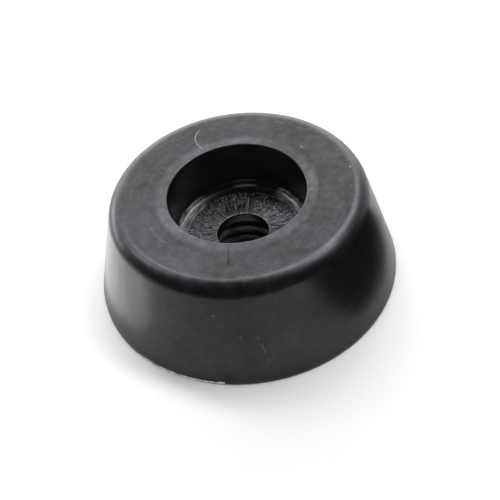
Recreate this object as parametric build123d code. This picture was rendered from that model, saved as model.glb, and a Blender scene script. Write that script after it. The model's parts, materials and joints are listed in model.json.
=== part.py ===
"""Tapered rubber foot: one moulded piece, turned about +Z.

The wide end is the face that is screwed against the furniture or the case, and it lies on z = 0.
The narrow end is the face that stands on the floor in use. A deep recess in the narrow end takes
the head of the fixing screw, which clamps on the seat at the bottom of the recess and passes
through the ribbed hole below it. All sizes are in millimetres.
"""

import os

from build123d import *

# The outside: a short upright rim at the base, a cone, and a rounded crown
BASE_DIAMETER = 38.0
HEIGHT = 13.5
RIM_HEIGHT = 0.5
RIM_EDGE_RADIUS = 0.15  # where the rim meets the base
CROWN_DIAMETER = 31.3  # where the cone would meet the narrow face
CROWN_RADIUS = 2.1  # rounding between the cone and the narrow face

# The recess for the screw head, measured down from the narrow face
RECESS_DIAMETER = 17.0
RECESS_DEPTH = 7.1
LIP_RADIUS = 0.3
RECESS_FILLET = 1.1  # where the wall runs into the ledge
LEDGE_WIDTH = 1.3  # from the wall in to the edge of the seat
LEDGE_HEIGHT = 0.2  # above the seat
LEDGE_EDGE_RADIUS = 0.08

# The hole through the web, with grip ribs round its wall
HOLE_DIAMETER = 6.5  # over the crests of the ribs
HOLE_EDGE_RADIUS = 0.15  # at the seat
FIRST_RIB_HEIGHT = 1.2  # the plain wall between the seat and the first groove
RIB_PITCH = 1.7
GROOVE_WIDTH = 0.95
GROOVE_DEPTH = 0.45
GROOVE_ROOT_RADIUS = 0.2
RIB_EDGE_RADIUS = 0.12

base_radius = BASE_DIAMETER / 2
crown_radius = CROWN_DIAMETER / 2
recess_radius = RECESS_DIAMETER / 2
hole_radius = HOLE_DIAMETER / 2
seat_z = HEIGHT - RECESS_DEPTH
seat_radius = recess_radius - LEDGE_WIDTH
ledge_z = seat_z + LEDGE_HEIGHT


def outline_section():
    """Half of the moulding's section, in the XZ plane, before the grooves are cut.

    X is the radius and Z the height.
    """
    outline = Plane.XZ * Polygon(
        (hole_radius, 0),
        (base_radius, 0),
        (base_radius, RIM_HEIGHT),
        (crown_radius, HEIGHT),
        (recess_radius, HEIGHT),
        (recess_radius, ledge_z),
        (seat_radius, ledge_z),
        (seat_radius, seat_z),
        (hole_radius, seat_z),
        align=None,
    )
    roundings = [
        (base_radius, 0, RIM_EDGE_RADIUS),
        (crown_radius, HEIGHT, CROWN_RADIUS),
        (recess_radius, HEIGHT, LIP_RADIUS),
        (recess_radius, ledge_z, RECESS_FILLET),
        (seat_radius, ledge_z, LEDGE_EDGE_RADIUS),
        (hole_radius, seat_z, HOLE_EDGE_RADIUS),
    ]
    for radius, height, rounding in roundings:
        corner = outline.vertices().sort_by_distance((radius, 0, height))[0]
        outline = fillet(corner, rounding)
    return outline


def groove_heights():
    """Heights of the grooves' middles, stepped down the hole until only a last rib is left."""
    highest = seat_z - FIRST_RIB_HEIGHT - GROOVE_WIDTH / 2
    count = int((seat_z - FIRST_RIB_HEIGHT) / RIB_PITCH)
    return [highest - RIB_PITCH * i for i in range(count)]


def ribbed_section():
    """The section with its grooves, and with the edges of the ribs rounded."""
    section = outline_section()
    for middle_z in groove_heights():
        groove = RectangleRounded(2 * GROOVE_DEPTH, GROOVE_WIDTH, GROOVE_ROOT_RADIUS)
        section -= Plane.XZ * Pos(hole_radius, middle_z) * groove
    for middle_z in groove_heights():
        for edge_z in (middle_z - GROOVE_WIDTH / 2, middle_z + GROOVE_WIDTH / 2):
            corner = section.vertices().sort_by_distance((hole_radius, 0, edge_z))[0]
            section = fillet(corner, RIB_EDGE_RADIUS)
    return section


foot = revolve(ribbed_section(), Axis.Z)

os.makedirs("parts", exist_ok=True)
export_step(foot, "parts/foot.step")
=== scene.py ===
"""Black rubber foot on a pale floor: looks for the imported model.

Lengths that describe the moulding are in millimetres and are turned into metres with MM.
"""
import json
import math

import bpy
from mathutils import Matrix, Vector


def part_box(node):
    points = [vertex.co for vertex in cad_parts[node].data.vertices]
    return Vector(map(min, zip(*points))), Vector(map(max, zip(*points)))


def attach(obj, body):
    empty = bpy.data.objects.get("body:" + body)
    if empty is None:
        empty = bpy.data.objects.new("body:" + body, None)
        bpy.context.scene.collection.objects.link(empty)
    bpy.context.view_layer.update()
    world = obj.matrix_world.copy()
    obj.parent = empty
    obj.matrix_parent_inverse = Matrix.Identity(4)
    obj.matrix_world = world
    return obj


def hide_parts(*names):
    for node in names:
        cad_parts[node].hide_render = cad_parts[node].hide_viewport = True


MM = 0.001
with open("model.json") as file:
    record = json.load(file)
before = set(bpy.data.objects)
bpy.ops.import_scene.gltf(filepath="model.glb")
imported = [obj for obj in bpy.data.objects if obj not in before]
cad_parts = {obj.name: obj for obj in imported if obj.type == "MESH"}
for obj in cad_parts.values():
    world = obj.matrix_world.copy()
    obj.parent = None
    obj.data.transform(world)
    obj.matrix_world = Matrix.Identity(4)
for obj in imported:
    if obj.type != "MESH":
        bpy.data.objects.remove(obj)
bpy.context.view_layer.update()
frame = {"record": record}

low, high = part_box("foot")
BASE_RADIUS = (high[0] - low[0]) / 2 / MM
HEIGHT = high[2] / MM
hole = [m for m in frame["record"]["mounts"] if m["name"] == "screw_hole"][0]["dims"]
HOLE_RADIUS = hole["r_mm"]
SEAT_Z = hole["length_mm"]


# ---- Mesh of the moulding ------------------------------------------------------------------

CROWN_RADIUS = 15.65
RECESS_RADIUS = 8.5
SEAT_RADIUS = 7.2
LEDGE_Z = SEAT_Z + 0.2
RIM_HEIGHT = 0.5
CROWN_ROUNDING = 2.1
LIP_ROUNDING = 0.3
RECESS_ROUNDING = 1.1
FIRST_RIB = 1.2  # from the seat down to the first groove
RIB_PITCH = 1.7
GROOVES = 3
GROOVE_WIDTH = 0.95
GROOVE_DEPTH = 0.45
AROUND = 448  # steps round the axis


def rounded(corners):
    """Points along a closed section whose corners are (radius, height, rounding, steps)."""
    points = []
    count = len(corners)
    for i, (r, z, rounding, steps) in enumerate(corners):
        here = Vector((r, z))
        to_last = Vector(corners[i - 1][:2]) - here
        to_next = Vector(corners[(i + 1) % count][:2]) - here
        a, b = to_last.normalized(), to_next.normalized()
        half = a.angle(b) / 2
        reach = rounding / math.tan(half)
        middle = here + (a + b).normalized() * (rounding / math.sin(half))
        start, end = here + a * reach, here + b * reach
        # one loop a little outside each end of the rounding keeps the flat beside it flat
        edge = min(0.12, 0.3 * (to_last.length - reach))
        points.append(start + a * edge)
        first, last = start - middle, end - middle
        turn = first.angle_signed(last)
        for k in range(steps + 1):
            c, s = math.cos(-turn * k / steps), math.sin(-turn * k / steps)
            points.append(middle + Vector((c * first.x - s * first.y, s * first.x + c * first.y)))
        edge = min(0.12, 0.3 * (to_next.length - reach))
        points.append(end + b * edge)
    return points


def section():
    """The moulding's closed section, anticlockwise from the hole's lower end."""
    corners = [
        (HOLE_RADIUS, 0, 0.1, 3),
        (BASE_RADIUS, 0, 0.15, 5),
        (BASE_RADIUS, RIM_HEIGHT, 0.12, 4),
        (CROWN_RADIUS, HEIGHT, CROWN_ROUNDING, 20),
        (RECESS_RADIUS, HEIGHT, LIP_ROUNDING, 7),
        (RECESS_RADIUS, LEDGE_Z, RECESS_ROUNDING, 14),
        (SEAT_RADIUS, LEDGE_Z, 0.08, 5),
        (SEAT_RADIUS, SEAT_Z, 0.08, 4),
        (HOLE_RADIUS, SEAT_Z, 0.15, 5),
    ]
    for i in range(GROOVES):
        z = SEAT_Z - FIRST_RIB - RIB_PITCH * i
        corners += [
            (HOLE_RADIUS, z, 0.12, 4),
            (HOLE_RADIUS + GROOVE_DEPTH, z, 0.2, 4),
            (HOLE_RADIUS + GROOVE_DEPTH, z - GROOVE_WIDTH, 0.2, 4),
            (HOLE_RADIUS, z - GROOVE_WIDTH, 0.12, 4),
        ]
    return rounded(corners)


def filled(points, longest=0.9):
    """The same closed line with no step longer than this, so that the quads stay near square."""
    out = []
    for i, p in enumerate(points):
        q = points[(i + 1) % len(points)]
        pieces = max(1, math.ceil((q - p).length / longest))
        out += [p.lerp(q, k / pieces) for k in range(pieces)]
    return out


def turned(name, points):
    """A mesh object made by turning a closed section about Z."""
    count = len(points)
    verts, faces = [], []
    for j in range(AROUND):
        a = 2 * math.pi * j / AROUND
        c, s = math.cos(a) * MM, math.sin(a) * MM
        verts += [(p.x * c, p.x * s, p.y * MM) for p in points]
    for j in range(AROUND):
        near, far = j * count, (j + 1) % AROUND * count
        for i in range(count):
            k = (i + 1) % count
            faces.append((near + i, far + i, far + k, near + k))
    mesh = bpy.data.meshes.new(name)
    mesh.from_pydata(verts, [], faces)
    mesh.polygons.foreach_set("use_smooth", [True] * len(faces))
    mesh.update()
    thing = bpy.data.objects.new(name, mesh)
    bpy.context.scene.collection.objects.link(thing)
    return thing


foot = turned("moulded_foot", filled(section()))


# ---- Rubber --------------------------------------------------------------------------------


class Nodes:
    """Short ways to add shader nodes to one tree."""

    def __init__(self, tree):
        self.tree = tree
        tree.nodes.clear()

    def add(self, kind, **settings):
        node = self.tree.nodes.new(kind)
        for key, value in settings.items():
            setattr(node, key, value)
        return node

    def put(self, socket, value):
        if isinstance(value, bpy.types.NodeSocket):
            self.tree.links.new(value, socket)
        elif value is not None:
            socket.default_value = value

    def math(self, operation, a, b=None, c=None, clamp=False):
        node = self.add("ShaderNodeMath", operation=operation, use_clamp=clamp)
        for socket, value in zip(node.inputs, (a, b, c)):
            self.put(socket, value)
        return node.outputs[0]

    def vector(self, operation, a, b=None, scale=None):
        node = self.add("ShaderNodeVectorMath", operation=operation)
        self.put(node.inputs[0], a)
        self.put(node.inputs[1], b)
        if scale is not None:
            self.put(node.inputs["Scale"], scale)
        return node.outputs["Value" if operation in ("LENGTH", "DOT_PRODUCT", "DISTANCE") else "Vector"]

    def joined(self, x, y, z):
        node = self.add("ShaderNodeCombineXYZ")
        for socket, value in zip(node.inputs, (x, y, z)):
            self.put(socket, value)
        return node.outputs[0]

    def ramp(self, value, start, end, low=0.0, high=1.0, smooth=True):
        node = self.add("ShaderNodeMapRange", clamp=True)
        node.interpolation_type = "SMOOTHSTEP" if smooth else "LINEAR"
        for socket, v in zip(node.inputs, (value, start, end, low, high)):
            self.put(socket, v)
        return node.outputs[0]

    def band(self, value, start, end, soft):
        """1 between start and end, fading over soft outside them."""
        up = self.ramp(value, start - soft, start)
        down = self.ramp(value, end, end + soft, 1.0, 0.0)
        return self.math("MULTIPLY", up, down)

    def noise(self, vector, scale, detail=3.0, rough=0.5, distortion=0.0):
        node = self.add("ShaderNodeTexNoise")
        self.put(node.inputs["Vector"], vector)
        node.inputs["Scale"].default_value = scale
        node.inputs["Detail"].default_value = detail
        node.inputs["Roughness"].default_value = rough
        node.inputs["Distortion"].default_value = distortion
        return node.outputs["Fac"]

    def noise_round(self, spin, along, around, across, detail, rough):
        """Noise in cylinder coordinates: spin is an angle's cosine and sine, along a radius or height."""
        vector = self.joined(
            self.product(spin[0], around), self.product(spin[1], around), self.product(along, across)
        )
        return self.noise(vector, 1.0, detail, rough)

    def off_middle(self, value):
        """A noise's value less its mean."""
        return self.math("SUBTRACT", value, 0.5)

    def mix(self, factor, a, b):
        node = self.add("ShaderNodeMix", data_type="FLOAT")
        self.put(node.inputs["Factor"], factor)
        self.put(node.inputs["A"], a)
        self.put(node.inputs["B"], b)
        return node.outputs["Result"]

    def product(self, *values):
        out = values[0]
        for value in values[1:]:
            out = self.math("MULTIPLY", out, value)
        return out

    def total(self, *values):
        out = values[0]
        for value in values[1:]:
            out = self.math("ADD", out, value)
        return out

    def towards(self, angle, degrees, outer, inner):
        """1 within inner degrees of this direction, fading to 0 at outer degrees."""
        turn = self.math("COSINE", self.math("SUBTRACT", angle, math.radians(degrees)))
        return self.ramp(turn, math.cos(math.radians(outer)), math.cos(math.radians(inner)))

    def near_segment(self, point, a, b, width, soft):
        """1 within width of the line from a to b, fading over soft outside it."""
        span = Vector(b) - Vector(a)
        from_a = self.vector("SUBTRACT", point, tuple(a))
        along = self.math(
            "DIVIDE", self.vector("DOT_PRODUCT", from_a, tuple(span)), span.length_squared, clamp=True
        )
        on_line = self.vector("SCALE", tuple(span), scale=along)
        gap = self.vector("DISTANCE", from_a, on_line)
        return self.ramp(gap, width, width + soft, 1.0, 0.0)


def rubber():
    material = bpy.data.materials.new("black_rubber")
    material.use_nodes = True
    n = Nodes(material.node_tree)
    place = n.vector("SCALE", n.add("ShaderNodeTexCoord").outputs["Object"], scale=1 / MM)
    parts = n.add("ShaderNodeSeparateXYZ")
    n.put(parts.inputs[0], place)
    x, y, z = parts.outputs
    radius = n.vector("LENGTH", n.joined(x, y, 0.0))
    angle = n.math("ARCTAN2", y, x)

    # where on the moulding
    at_seat = n.band(z, SEAT_Z - 0.03, SEAT_Z + 0.1, 0.05)
    seat = n.product(at_seat, n.band(radius, HOLE_RADIUS + 0.05, 7.12, 0.1))
    top = n.product(n.ramp(z, HEIGHT - 0.5, HEIGHT - 0.1), n.ramp(radius, 8.5, 8.8))
    side = n.ramp(radius, 14.6, 15.2)

    # wrinkles that run out from the hole, which break up into beads farther out
    spin = n.math("COSINE", angle), n.math("SINE", angle)
    swing = n.math("ADD", angle, n.product(n.noise(place, 0.5, 2.0, 0.5), 0.18))
    swung = n.math("COSINE", swing), n.math("SINE", swing)
    wrinkles = n.noise_round(swung, radius, 36.0, 0.5, 1.0, 0.5)
    beads = n.noise_round(swung, radius, 38.0, 3.8, 1.0, 0.5)
    far_out = n.ramp(radius, 4.4, 5.8)
    creased = n.mix(far_out, wrinkles, n.mix(0.65, wrinkles, beads))
    # the crests of the creases are painted pale as highlights
    crease_highlights = n.ramp(creased, 0.47, 0.60)

    # tool rings round the foot of the recess
    foot_of_recess = n.product(n.band(radius, 7.1, 8.3, 0.12), n.ramp(z, 7.7, 7.4))
    tool_rings = n.product(foot_of_recess, n.math("SINE", n.product(radius, 21.0)))
    at_back = n.band(angle, math.radians(55), math.radians(125), 0.3)

    # painted highlights at the left and the right of the recess foot, and two short painted glints at the
    # back of the fillet
    streaks = n.noise_round(spin, radius, 5.0, 5.0, 2.0, 0.5)
    painted_highlights = n.product(
        foot_of_recess,
        n.ramp(streaks, 0.42, 0.6, 0.15, 1.0),
        n.total(
            n.product(n.towards(angle, 160, 40, 16), 0.24),
            n.product(n.towards(angle, 27, 26, 8), 0.17),
        ),
    )
    painted_glints = n.product(
        n.band(radius, 7.5, 8.6, 0.2),
        n.total(n.band(z, 6.80, 6.86, 0.12), n.product(n.band(z, 7.38, 7.41, 0.08), 0.6)),
        n.towards(angle, 82, 13, 0),
    )

    # unevenness, haze and dust of the skin
    grain = n.noise(place, 5.5, 4.0, 0.65)
    clouds = n.noise(place, 0.16, 2.0, 0.5)
    sweeps = n.noise_round(spin, radius, 2.0, 2.2, 4.0, 0.6)
    specks = n.ramp(n.noise(place, 3.6, 2.0, 0.5), 0.66, 0.76)
    unevenness = n.noise(place, 0.35, 3.0, 0.5)
    mottle = n.noise(place, 0.9, 5.0, 0.62, 0.15)
    brushed = n.noise_round(spin, z, 40.0, 0.12, 3.0, 0.6)
    ring_patches = n.ramp(n.noise(place, 0.2, 2.0, 0.5), 0.35, 0.62, 0.45, 1.0)

    # marks
    def line_on_top(points, width, soft):
        """1 along a bent line on the narrow face."""
        ends = [(*point, HEIGHT) for point in points]
        return n.total(*[n.near_segment(place, p, q, width, soft) for p, q in zip(ends, ends[1:])])

    lint = line_on_top(
        [(-3.44, 12.39), (-3.85, 12.02), (-4.13, 11.3), (-4.21, 10.56), (-3.98, 9.7), (-3.45, 8.75)],
        0.02, 0.09,
    )
    scratch = line_on_top([(-10.70, -3.84), (-10.26, -5.29), (-9.28, -6.68)], 0.02, 0.14)
    chips = [
        n.near_segment(place, (8.8, 6.35, HEIGHT), (9.0, 5.95, HEIGHT), 0.02, 0.12),
        n.near_segment(place, (14.1, 1.05, 13.49), (14.2, 1.2, 13.49), 0.06, 0.1),
    ]
    # a notch in the base edge, its highlight painted pale
    notch_highlight = n.near_segment(place, (-5.5, -18.18, 0.35), (-5.1, -18.3, 0.35), 0.14, 0.12)
    scuffs = [
        n.near_segment(place, (-4.84, -15.83, 9.85), (-4.7, -15.87, 9.75), 0.05, 0.16),
        n.near_segment(place, (-2.18, -17.12, 7.02), (-2.1, -17.2, 6.8), 0.04, 0.18),
        n.near_segment(place, (-0.2, -17.37, 6.6), (-0.1, -17.4, 6.45), 0.04, 0.14),
        n.near_segment(place, (0.12, -17.6, 5.6), (0.39, -17.91, 4.39), 0.03, 0.16),
        n.near_segment(place, (0.6, -18.15, 3.4), (0.68, -18.25, 3.0), 0.03, 0.14),
        n.near_segment(place, (11.11, -14.22, 3.85), (11.2, -14.2, 3.7), 0.04, 0.1),
    ]
    hairline = line_on_top([(-1.80, -8.75), (-2.2, -11.8)], 0.02, 0.09)
    smudge = line_on_top([(-11.7, 3.4), (-11.4, 3.7)], 0.1, 0.9)
    # painted highlight: a pale band along the front-left edge of the base
    base_highlight = n.product(
        n.band(z, 0.12, 0.42, 0.06), n.ramp(radius, 18.8, 18.9),
        n.band(angle, math.radians(-140), math.radians(-108), 0.05),
        n.ramp(n.noise(place, 1.6, 3.0, 0.6), 0.32, 0.6, 0.1, 1.0),
    )

    # colour
    ring = n.product(top, n.band(radius, 8.7, 9.3, 1.0))
    outside = n.ramp(radius, 8.5, 8.75)
    dust = n.product(n.ramp(mottle, 0.40, 0.72), outside)
    shade = n.total(
        0.006,
        n.product(dust, 0.004),
        n.product(top, dust, 0.009),
        n.product(top, specks, 0.03),
        n.product(ring, n.mix(dust, 0.045, 0.08), ring_patches),
        # painted highlights on the creases of the seat
        n.product(seat, crease_highlights, 0.10),
        # painted highlight along the upper edge of the hole
        n.product(at_seat, n.band(radius, HOLE_RADIUS + 0.02, HOLE_RADIUS + 0.1, 0.07), 0.09),
        n.product(lint, 0.15),
        n.product(scratch, 0.025),
        n.product(n.total(*chips), 0.14),
        # painted highlight at the notch in the base
        n.product(notch_highlight, 0.5),
        n.product(n.total(*scuffs), 0.045),
        # painted highlight along the base edge
        n.product(base_highlight, 0.7),
        # painted highlights and glints at the foot of the recess
        painted_highlights,
        n.product(painted_glints, 0.09),
    )
    colour = n.add("ShaderNodeCombineColor")
    n.put(colour.inputs[0], shade)
    n.put(colour.inputs[1], n.product(shade, 1.01))
    n.put(colour.inputs[2], n.product(shade, n.mix(clouds, 0.92, 1.2)))

    # gloss
    in_recess = n.product(n.ramp(radius, 8.7, 8.5), n.ramp(z, HEIGHT - 0.1, HEIGHT - 0.4))
    rough = n.total(
        0.31,
        n.product(in_recess, -0.07),
        n.product(n.off_middle(mottle), outside, 0.09),
        n.product(n.off_middle(brushed), n.product(side, 0.10)),
    )
    mirror = n.total(
        0.41,
        n.product(n.off_middle(mottle), outside, 0.18),
        n.product(n.off_middle(clouds), outside, 0.4),
        n.product(foot_of_recess, at_back, -0.45),
        n.product(n.off_middle(sweeps), top, 0.3),
        n.product(in_recess, 0.3),
        n.product(hairline, -0.27),
        n.product(smudge, -0.15),
    )

    # relief, in millimetres
    relief = n.total(
        n.product(grain, 0.008),
        n.product(unevenness, 0.04),
        n.product(seat, creased, 0.17),
        n.product(side, brushed, 0.005),
        n.product(tool_rings, 0.012),
    )
    bump = n.add("ShaderNodeBump")
    bump.inputs["Strength"].default_value = 1.0
    bump.inputs["Distance"].default_value = MM
    n.put(bump.inputs["Height"], relief)

    surface = n.add("ShaderNodeBsdfPrincipled")
    n.put(surface.inputs["Base Color"], colour.outputs[0])
    n.put(surface.inputs["Roughness"], rough)
    n.put(surface.inputs["Specular IOR Level"], mirror)
    surface.inputs["Specular Tint"].default_value = (0.90, 0.93, 1.0, 1.0)
    surface.inputs["IOR"].default_value = 1.48
    n.put(surface.inputs["Normal"], bump.outputs[0])
    out = n.add("ShaderNodeOutputMaterial")
    n.put(out.inputs["Surface"], surface.outputs[0])
    return material


foot.data.materials.append(rubber())
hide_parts("foot")
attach(foot, "root")


# ---- Studio --------------------------------------------------------------------------------


def card(name, corners, material, glossy_only=False):
    mesh = bpy.data.meshes.new(name)
    mesh.from_pydata(corners, [], [tuple(range(len(corners)))])
    mesh.materials.append(material)
    thing = bpy.data.objects.new(name, mesh)
    bpy.context.scene.collection.objects.link(thing)
    if glossy_only:
        thing.visible_camera = thing.visible_diffuse = thing.visible_shadow = False
        thing.visible_transmission = False
    return thing


def matt(name, scale, detail, dark, light, smooth):
    """A dull material whose grey varies between dark and light."""
    material = bpy.data.materials.new(name)
    material.use_nodes = True
    n = Nodes(material.node_tree)
    fibre = n.noise(n.add("ShaderNodeTexCoord").outputs["Object"], scale, detail)
    value = n.ramp(fibre, 0.3, 0.7, dark, light, smooth)
    colour = n.add("ShaderNodeCombineColor")
    for socket in colour.inputs[:3]:
        n.put(socket, value)
    surface = n.add("ShaderNodeBsdfDiffuse")
    n.put(surface.inputs["Color"], colour.outputs[0])
    out = n.add("ShaderNodeOutputMaterial")
    n.put(out.inputs["Surface"], surface.outputs[0])
    return material


def flat_at(z, points):
    return [(x, y, z) for x, y in points]


WIDE = 3.0
paper = matt("floor_paper", 900.0, 3.0, 0.955, 0.97, smooth=False)
card("floor", [(-WIDE, -WIDE, 0), (WIDE, -WIDE, 0), (WIDE, WIDE, 0), (-WIDE, WIDE, 0)], paper)
cloth = matt("black_cloth", 400.0, 2.0, 0.001, 0.004, smooth=True)
# Black cloths that only the rubber mirrors: a dark corner round the camera's side of the set, a black
# sheet on the floor in front of the foot, and one to its right that stands in for the foot's shadow there
LEFT, RIGHT, FRONT, TOP = -0.6, 0.476, -0.2, 0.3
SHEET_LIFT = 0.0005  # height of the black sheets over the floor
for name, corners in {
    "cloth_overhead": [(LEFT, 0.25, TOP), (RIGHT, FRONT, TOP), (LEFT, FRONT, TOP)],
    "cloth_in_front": [(LEFT, FRONT, 0), (RIGHT, FRONT, 0), (RIGHT, FRONT, TOP), (LEFT, FRONT, TOP)],
    "cloth_at_left": [(LEFT, FRONT, 0), (LEFT, 0.25, 0), (LEFT, 0.25, TOP), (LEFT, FRONT, TOP)],
    "cloth_at_right": [(RIGHT, FRONT, 0), (RIGHT, 0.145, 0), (RIGHT, 0.145, 0.27), (RIGHT, FRONT, 0.27)],
    "sheet_front": flat_at(SHEET_LIFT, [
        (-0.3, FRONT), (0.05, FRONT), (0.03, -0.071), (-0.2, -0.071),
    ]),
    # painted shadow: a black sheet that the rubber mirrors in place of the foot's shadow on the floor at
    # its right
    "shadow_sheet_right": flat_at(SHEET_LIFT, [
        (0.021, -0.027), (0.044, -0.066), (0.06, FRONT), (0.25, FRONT), (0.25, 0.06), (0.06, 0.018),
        (0.0235, 0.005), (0.0200, -0.0078), (0.0170, -0.0153),
    ]),
}.items():
    card(name, corners, cloth, glossy_only=True)


def softbox(name, middle, towards, length, width, brightness):
    """A flat lamp; brightness 1 looks as bright as white paper does in this light."""
    lamp = bpy.data.lights.new(name, "AREA")
    lamp.shape = "RECTANGLE"
    lamp.size, lamp.size_y = length, width
    lamp.energy = brightness * math.pi * length * width
    thing = bpy.data.objects.new(name, lamp)
    bpy.context.scene.collection.objects.link(thing)
    thing.location = middle
    thing.rotation_euler = (Vector(middle) - Vector(towards)).to_track_quat("Z", "Y").to_euler()
    return thing


strip = softbox("strip_overhead", (0.12, 0.316, 0.8), (0.12, 0.316, 0), 1.27, 0.17, 10.0)
strip.rotation_euler = (0, 0, math.radians(-35))
softbox("panel_at_back", (-0.05, 0.6, 0.23), (-0.05, 0, 0.23), 1.15, 0.46, 2.4)
softbox("panel_at_left", (-0.6, 0.42, 0.12), (0, 0, 0), 0.45, 0.24, 4.5)

# lamps that only gloss shows: two that the foot of the recess mirrors, one low at the left
for name, middle, towards, length, width, brightness in (
    ("kicker_right", (0.40, 0.45, 0.67), (0, 0, 0.006), 0.34, 0.34, 7.5),
    ("kicker_left", (-0.52, 0.30, 0.67), (0, 0, 0.006), 0.30, 0.30, 6.0),
    ("low_left", (-0.033, 0.004, 0.0006), (-0.033, 0.004, 1.0), 0.026, 0.034, 1.2),
):
    lamp = softbox(name, middle, towards, length, width, brightness)
    lamp.visible_camera = lamp.visible_diffuse = lamp.visible_transmission = False


# a fill from the camera's side that only matt surfaces show, so that the floor is evenly lit
fill_lamp = bpy.data.lights.new("fill", "SUN")
fill_lamp.angle = math.radians(70)
fill_lamp.energy = 0.24 * math.pi
fill = bpy.data.objects.new("fill", fill_lamp)
bpy.context.scene.collection.objects.link(fill)
fill.rotation_euler = Vector((-0.25, -0.6, 0.8)).to_track_quat("Z", "Y").to_euler()
fill.visible_glossy = False

world = bpy.data.worlds.new("studio")
bpy.context.scene.world = world
world.use_nodes = True
n = Nodes(world.node_tree)
path = n.add("ShaderNodeLightPath")
seen = n.math(
    "MAXIMUM",
    n.math("MAXIMUM", path.outputs["Is Camera Ray"], path.outputs["Is Glossy Ray"]),
    path.outputs["Is Transmission Ray"],
)
background = n.add("ShaderNodeBackground")
background.inputs["Color"].default_value = (1, 1, 1, 1)
n.put(background.inputs["Strength"], n.ramp(seen, 0.0, 1.0, 0.22, 1.0, smooth=False))
out = n.add("ShaderNodeOutputWorld")
n.put(out.inputs["Surface"], background.outputs[0])


# ---- Camera --------------------------------------------------------------------------------

SENSOR_MM = 36
FOCAL_MM = 76.7376
DISTANCE = 7.3040 * BASE_RADIUS * MM
ELEVATION = math.radians(46.320)
ROLL = math.radians(-9.096)
ASIDE = 0.00887 * BASE_RADIUS * MM
ALOFT = 0.10942 * BASE_RADIUS * MM

back = Vector((0, -math.cos(ELEVATION), math.sin(ELEVATION)))
level = Vector((1, 0, 0))
upright = back.cross(level)
across = math.cos(ROLL) * level + math.sin(ROLL) * upright
upward = -math.sin(ROLL) * level + math.cos(ROLL) * upright
lens = bpy.data.cameras.new("camera")
lens.sensor_fit = "HORIZONTAL"
lens.sensor_width = SENSOR_MM
lens.lens = FOCAL_MM
lens.clip_start = 0.005
camera = bpy.data.objects.new("camera", lens)
bpy.context.scene.collection.objects.link(camera)
axes = Matrix((across, upward, back)).transposed().to_4x4()
camera.matrix_world = Matrix.Translation(back * DISTANCE + across * ASIDE + upward * ALOFT) @ axes
bpy.context.scene.camera = camera

view = bpy.context.scene.view_settings
view.view_transform = "Standard"
